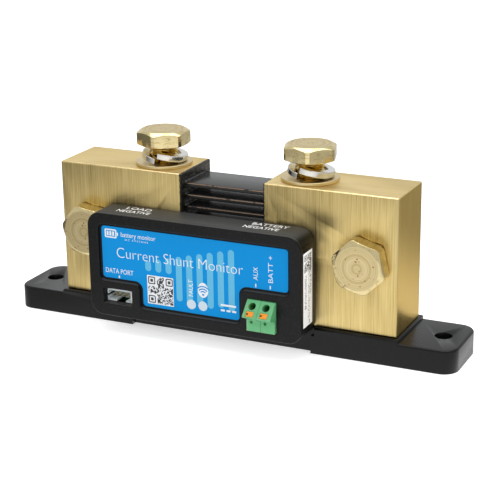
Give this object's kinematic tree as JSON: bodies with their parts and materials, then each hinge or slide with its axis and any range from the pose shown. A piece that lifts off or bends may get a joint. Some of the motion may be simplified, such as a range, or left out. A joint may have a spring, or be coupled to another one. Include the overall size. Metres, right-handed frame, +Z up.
{
  "type": "battery monitor shunt",
  "caption": "Current shunt with two brass terminal blocks, resistance strips, screw terminals and a front electronics housing on a moulded base.",
  "frame": {"origin": "centre of the two mounting holes, on the base's underside", "axes": "+X along the base from the load block to the battery block, +Y to the rear (away from the labelled housing), +Z up"},
  "size_m": [0.168, 0.0464, 0.0699],
  "materials": {
    "base_plastic": "satin moulded",
    "steel_screw": "zinc plated",
    "block_brass": "brushed",
    "strip_paint": "brushed-on black paint",
    "bolt_brass": "turned",
    "washer_brass": "pressed",
    "spring_steel": "bright plated",
    "housing_plastic": "fine spark-eroded grain",
    "label_print": "satin printed film",
    "sticker_paper": "printed white",
    "board_laminate": "solder mask",
    "socket_plastic": "natural moulded",
    "contact_gold": "gold flash",
    "terminal_plastic": "moulded",
    "lever_plastic": "moulded",
    "clamp_metal": "tinned",
    "led_resin": "clear resin",
    "light_pipe_clear": "clear moulded",
    "sense_brass": "turned",
    "chip_epoxy": "moulded epoxy",
    "shield_can": "plain"
  },
  "bodies": {
    "shunt": {"base_plate": "base_plastic", "load_base_screws": "steel_screw", "battery_base_screws": "steel_screw", "load_block": "block_brass", "battery_block": "block_brass", "resistance_strip_01": "strip_paint", "resistance_strip_02": "strip_paint", "resistance_strip_03": "strip_paint", "resistance_strip_04": "strip_paint", "resistance_strip_05": "strip_paint", "resistance_strip_06": "strip_paint", "resistance_strip_07": "strip_paint", "resistance_strip_08": "strip_paint", "resistance_strip_09": "strip_paint", "resistance_strip_10": "strip_paint", "housing_tray": "housing_plastic", "housing_cover": "housing_plastic", "label_film": "label_print", "side_sticker": "sticker_paper", "circuit_board": "board_laminate", "data_socket": "socket_plastic", "data_socket_pins": "contact_gold", "terminal_body": "terminal_plastic", "aux_clamp_bar": "clamp_metal", "supply_clamp_bar": "clamp_metal", "aux_clamp_spring": "clamp_metal", "supply_clamp_spring": "clamp_metal", "error_led": "led_resin", "radio_led": "led_resin", "error_light_pipe": "light_pipe_clear", "radio_light_pipe": "light_pipe_clear", "load_sense_spacer": "sense_brass", "battery_sense_spacer": "sense_brass", "load_sense_screw": "sense_brass", "battery_sense_screw": "sense_brass", "microcontroller": "chip_epoxy", "sense_amplifier": "chip_epoxy", "power_inductor": "chip_epoxy", "radio_module": "shield_can", "smoothing_capacitor": "shield_can"},
    "load_washers": {"load_flat_washer": "washer_brass", "load_spring_washer": "spring_steel"},
    "battery_washers": {"battery_flat_washer": "washer_brass", "battery_spring_washer": "spring_steel"},
    "load_top_bolt": {"load_top_bolt": "bolt_brass"},
    "battery_top_bolt": {"battery_top_bolt": "bolt_brass"},
    "load_front_bolt": {"load_front_bolt": "bolt_brass"},
    "battery_front_bolt": {"battery_front_bolt": "bolt_brass"},
    "load_rear_bolt": {"load_rear_bolt": "bolt_brass"},
    "battery_rear_bolt": {"battery_rear_bolt": "bolt_brass"},
    "aux_lever": {"aux_lever": "lever_plastic"},
    "supply_lever": {"supply_lever": "lever_plastic"}
  },
  "joints": [
    {"name": "load_washer_lift", "type": "slide", "parent": "shunt", "child": "load_washers", "axis": [0, 0, 1], "range_m": [0, 0.006]},
    {"name": "load_top_bolt_turn", "type": "hinge", "parent": "load_washers", "child": "load_top_bolt", "pos_m": [-0.02785, 0, 0.06], "axis": [0, 0, 1], "range_deg": [0, 1440]},
    {"name": "battery_washer_lift", "type": "slide", "parent": "shunt", "child": "battery_washers", "axis": [0, 0, 1], "range_m": [0, 0.006]},
    {"name": "battery_top_bolt_turn", "type": "hinge", "parent": "battery_washers", "child": "battery_top_bolt", "pos_m": [0.02785, 0, 0.06], "axis": [0, 0, 1], "range_deg": [0, 1440]},
    {"name": "load_front_bolt_turn", "type": "hinge", "parent": "shunt", "child": "load_front_bolt", "pos_m": [-0.0515, -0.0115, 0.0341], "axis": [0, -1, 0], "range_deg": [0, 90]},
    {"name": "battery_front_bolt_out", "type": "slide", "parent": "shunt", "child": "battery_front_bolt", "axis": [0, -1, 0], "range_m": [0, 0.01]},
    {"name": "load_rear_bolt_out", "type": "slide", "parent": "shunt", "child": "load_rear_bolt", "axis": [0, 1, 0], "range_m": [0, 0.01]},
    {"name": "battery_rear_bolt_out", "type": "slide", "parent": "shunt", "child": "battery_rear_bolt", "axis": [0, 1, 0], "range_m": [0, 0.01]},
    {"name": "aux_lever_press", "type": "slide", "parent": "shunt", "child": "aux_lever", "axis": [0, 0.866, -0.5], "range_m": [0, 0.001], "stiffness_N_per_m": 2500},
    {"name": "supply_lever_press", "type": "slide", "parent": "shunt", "child": "supply_lever", "axis": [0, 0.866, -0.5], "range_m": [0, 0.001], "stiffness_N_per_m": 2500}
  ],
  "couplings": [
    {"joint": "load_top_bolt_turn", "follows": "load_washer_lift", "rad_per_m": 4188.8},
    {"joint": "battery_top_bolt_turn", "follows": "battery_washer_lift", "rad_per_m": 4188.8}
  ]
}
